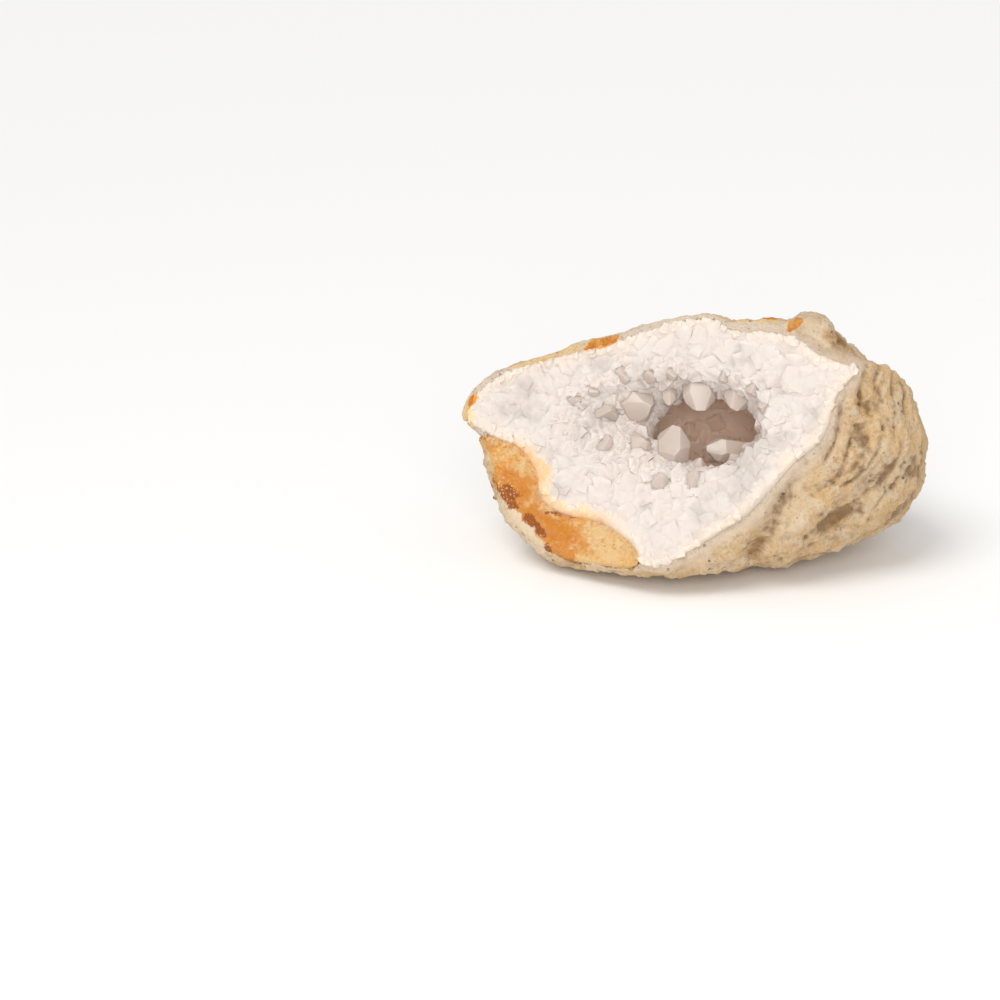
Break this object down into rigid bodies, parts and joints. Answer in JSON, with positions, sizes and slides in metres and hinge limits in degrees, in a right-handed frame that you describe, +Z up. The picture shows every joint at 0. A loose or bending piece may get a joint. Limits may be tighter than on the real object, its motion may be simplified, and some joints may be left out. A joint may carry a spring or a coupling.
{
  "type": "geode half",
  "caption": "Half of a broken quartz geode: rough limestone rind, iron-stained layer, milky quartz lining and a hollow lined with six-sided crystals.",
  "frame": {"origin": "on the surface it rests on, under the middle of the stone's box", "axes": "+X to the right along the longest side, -Y out of the broken face, +Z up"},
  "size_m": [0.1004, 0.0492, 0.055],
  "materials": {
    "rind": "rough tan limestone with grooves, pits and cream patches",
    "stained_layer": "rough broken face stained orange to rust brown by iron",
    "quartz_lining": "milky white broken quartz, sparkling, slightly translucent",
    "quartz_crystal": "glossy translucent grey-white crystal faces"
  },
  "bodies": {
    "root": {"crystal_bottom_1": "quartz_crystal", "crystal_bottom_2": "quartz_crystal", "crystal_bottom_3": "quartz_crystal", "crystal_bottom_4": "quartz_crystal", "crystal_floor_left": "quartz_crystal", "crystal_floor_right": "quartz_crystal", "crystal_floor_white_point": "quartz_crystal", "crystal_left_block": "quartz_crystal", "crystal_left_grey": "quartz_crystal", "crystal_left_ledge": "quartz_crystal", "crystal_left_sentinel": "quartz_crystal", "crystal_left_upright": "quartz_crystal", "crystal_mouth_1": "quartz_crystal", "crystal_mouth_2": "quartz_crystal", "crystal_mouth_3": "quartz_crystal", "crystal_mouth_4": "quartz_crystal", "crystal_mouth_5": "quartz_crystal", "crystal_mouth_6": "quartz_crystal", "crystal_mouth_7": "quartz_crystal", "crystal_mouth_8": "quartz_crystal", "crystal_right_lip": "quartz_crystal", "crystal_right_lying": "quartz_crystal", "crystal_right_splinter": "quartz_crystal", "crystal_throat_1": "quartz_crystal", "crystal_throat_2": "quartz_crystal", "crystal_throat_3": "quartz_crystal", "crystal_top_block": "quartz_crystal", "crystal_top_glint": "quartz_crystal", "crystal_top_left": "quartz_crystal", "crystal_top_right_hanger": "quartz_crystal", "quartz_lining": "quartz_lining", "rind": "rind", "stained_layer": "stained_layer"}
  },
  "joints": []
}
